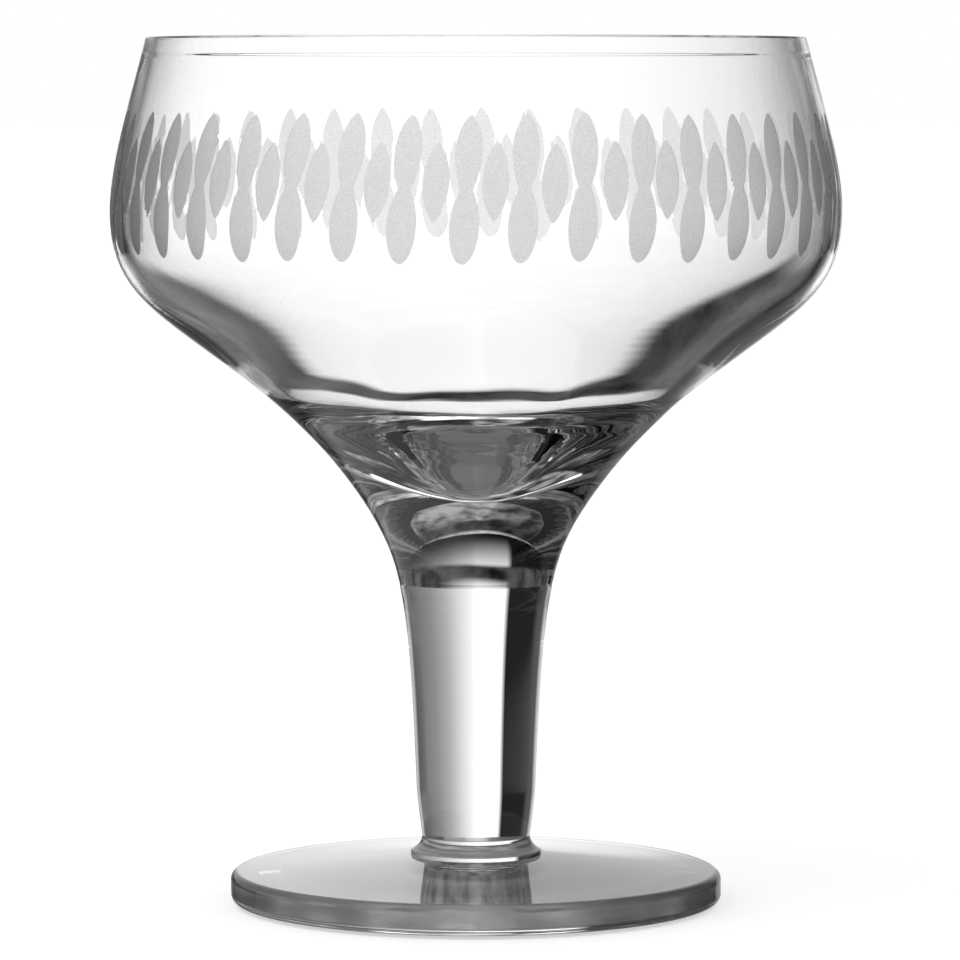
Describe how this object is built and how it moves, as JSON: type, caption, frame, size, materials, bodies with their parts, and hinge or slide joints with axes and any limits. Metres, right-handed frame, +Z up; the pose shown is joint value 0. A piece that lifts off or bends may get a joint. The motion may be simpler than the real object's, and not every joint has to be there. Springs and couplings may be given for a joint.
{
  "type": "margarita glass",
  "caption": "Footed drinking glass with a wide rounded bowl on a tapered cone, a thick solid stem, a small collar and a round flat foot.",
  "frame": {"origin": "middle of the foot's resting plane, on the glass's axis", "axes": "+Z up along the axis of the glass, from the foot to the rim; X and Y level"},
  "size_m": [0.1012, 0.1012, 0.12],
  "materials": {
    "bowl_glass": "clear fire-polished glass with a matt etched band of pointed ovals below the rim",
    "stem_glass": "clear fire-polished solid glass",
    "collar_glass": "clear fire-polished solid glass",
    "foot_glass": "clear fire-polished glass, slightly wavy on top"
  },
  "bodies": {
    "root": {"bowl": "bowl_glass", "stem": "stem_glass", "collar": "collar_glass", "foot": "foot_glass"}
  },
  "joints": []
}
